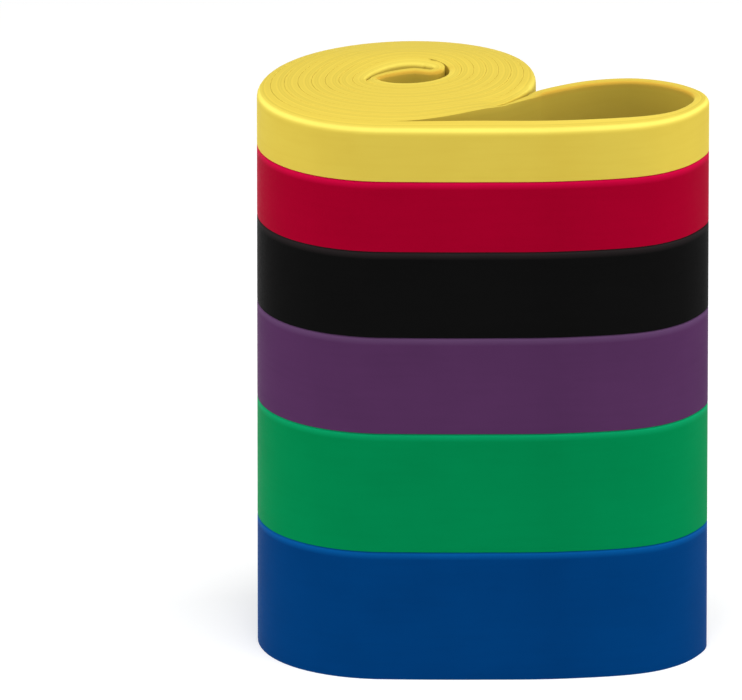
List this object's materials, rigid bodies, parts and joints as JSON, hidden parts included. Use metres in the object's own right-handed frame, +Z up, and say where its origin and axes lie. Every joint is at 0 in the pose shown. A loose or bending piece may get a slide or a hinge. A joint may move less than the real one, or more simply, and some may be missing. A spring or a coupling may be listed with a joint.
{
  "type": "resistance band set",
  "caption": "Stack of endless elastic loop bands in different widths and colours, each pressed flat, rolled up and stood on edge with one end left out as an open loop.",
  "frame": {"origin": "on the ground, under the middle of the stack's box", "axes": "+Z up through the stack, +X from the rolls towards the free loops, -Y is the front, where each loop's straight run lies"},
  "size_m": [0.1544, 0.093, 0.1993],
  "materials": {
    "blue_rubber": "satin",
    "green_rubber": "satin",
    "purple_rubber": "satin",
    "black_rubber": "satin",
    "red_rubber": "satin",
    "yellow_rubber": "satin"
  },
  "bodies": {
    "blue_roll": {"blue_band": "blue_rubber"},
    "green_roll": {"green_band": "green_rubber"},
    "purple_roll": {"purple_band": "purple_rubber"},
    "black_roll": {"black_band": "black_rubber"},
    "red_roll": {"red_band": "red_rubber"},
    "yellow_roll": {"yellow_band": "yellow_rubber"}
  },
  "joints": [
    {"name": "green_lift", "type": "slide", "parent": "blue_roll", "child": "green_roll", "axis": [0, 0, 1], "range_m": [0, 0.06]},
    {"name": "purple_lift", "type": "slide", "parent": "green_roll", "child": "purple_roll", "axis": [0, 0, 1], "range_m": [0, 0.06]},
    {"name": "black_lift", "type": "slide", "parent": "purple_roll", "child": "black_roll", "axis": [0, 0, 1], "range_m": [0, 0.06]},
    {"name": "red_lift", "type": "slide", "parent": "black_roll", "child": "red_roll", "axis": [0, 0, 1], "range_m": [0, 0.06]},
    {"name": "yellow_lift", "type": "slide", "parent": "red_roll", "child": "yellow_roll", "axis": [0, 0, 1], "range_m": [0, 0.06]}
  ]
}
